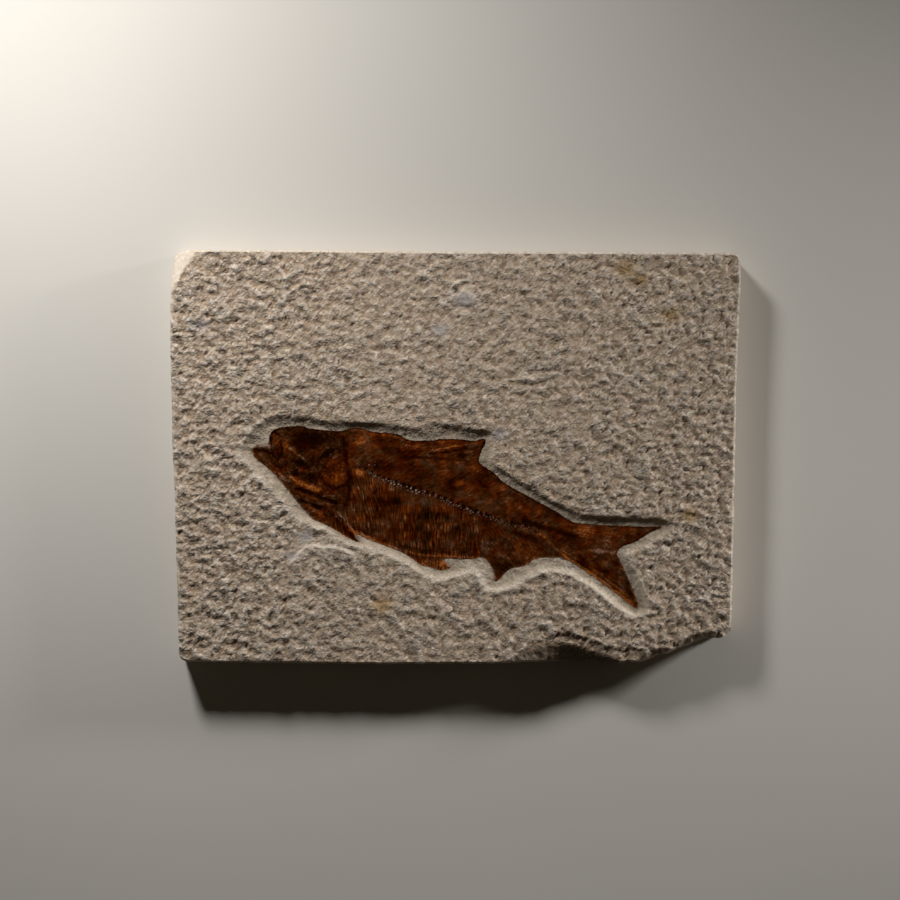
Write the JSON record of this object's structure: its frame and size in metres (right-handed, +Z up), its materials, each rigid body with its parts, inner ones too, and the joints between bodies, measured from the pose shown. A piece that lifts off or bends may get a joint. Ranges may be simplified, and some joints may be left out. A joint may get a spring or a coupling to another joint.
{
  "type": "knightia fossil fish",
  "caption": "Fossil herring-like fish lying in a shallow hollow of a sawn limestone slab, for display or study.",
  "frame": {"origin": "middle of the slab's sawn back, which the specimen rests on", "axes": "+X to the right across the face towards the fish's tail, +Y across the face towards the edge nearest the fish's back, +Z up out of the face"},
  "size_m": [0.1542, 0.1119, 0.0114],
  "materials": {
    "limestone": "matt, pecked by hand on the face, sawn on the back and sides",
    "fossil": "glossy dark brown mineralised bone, scale and skin"
  },
  "bodies": {
    "root": {"limestone_slab": "limestone", "knightia_fish": "fossil"}
  },
  "joints": []
}
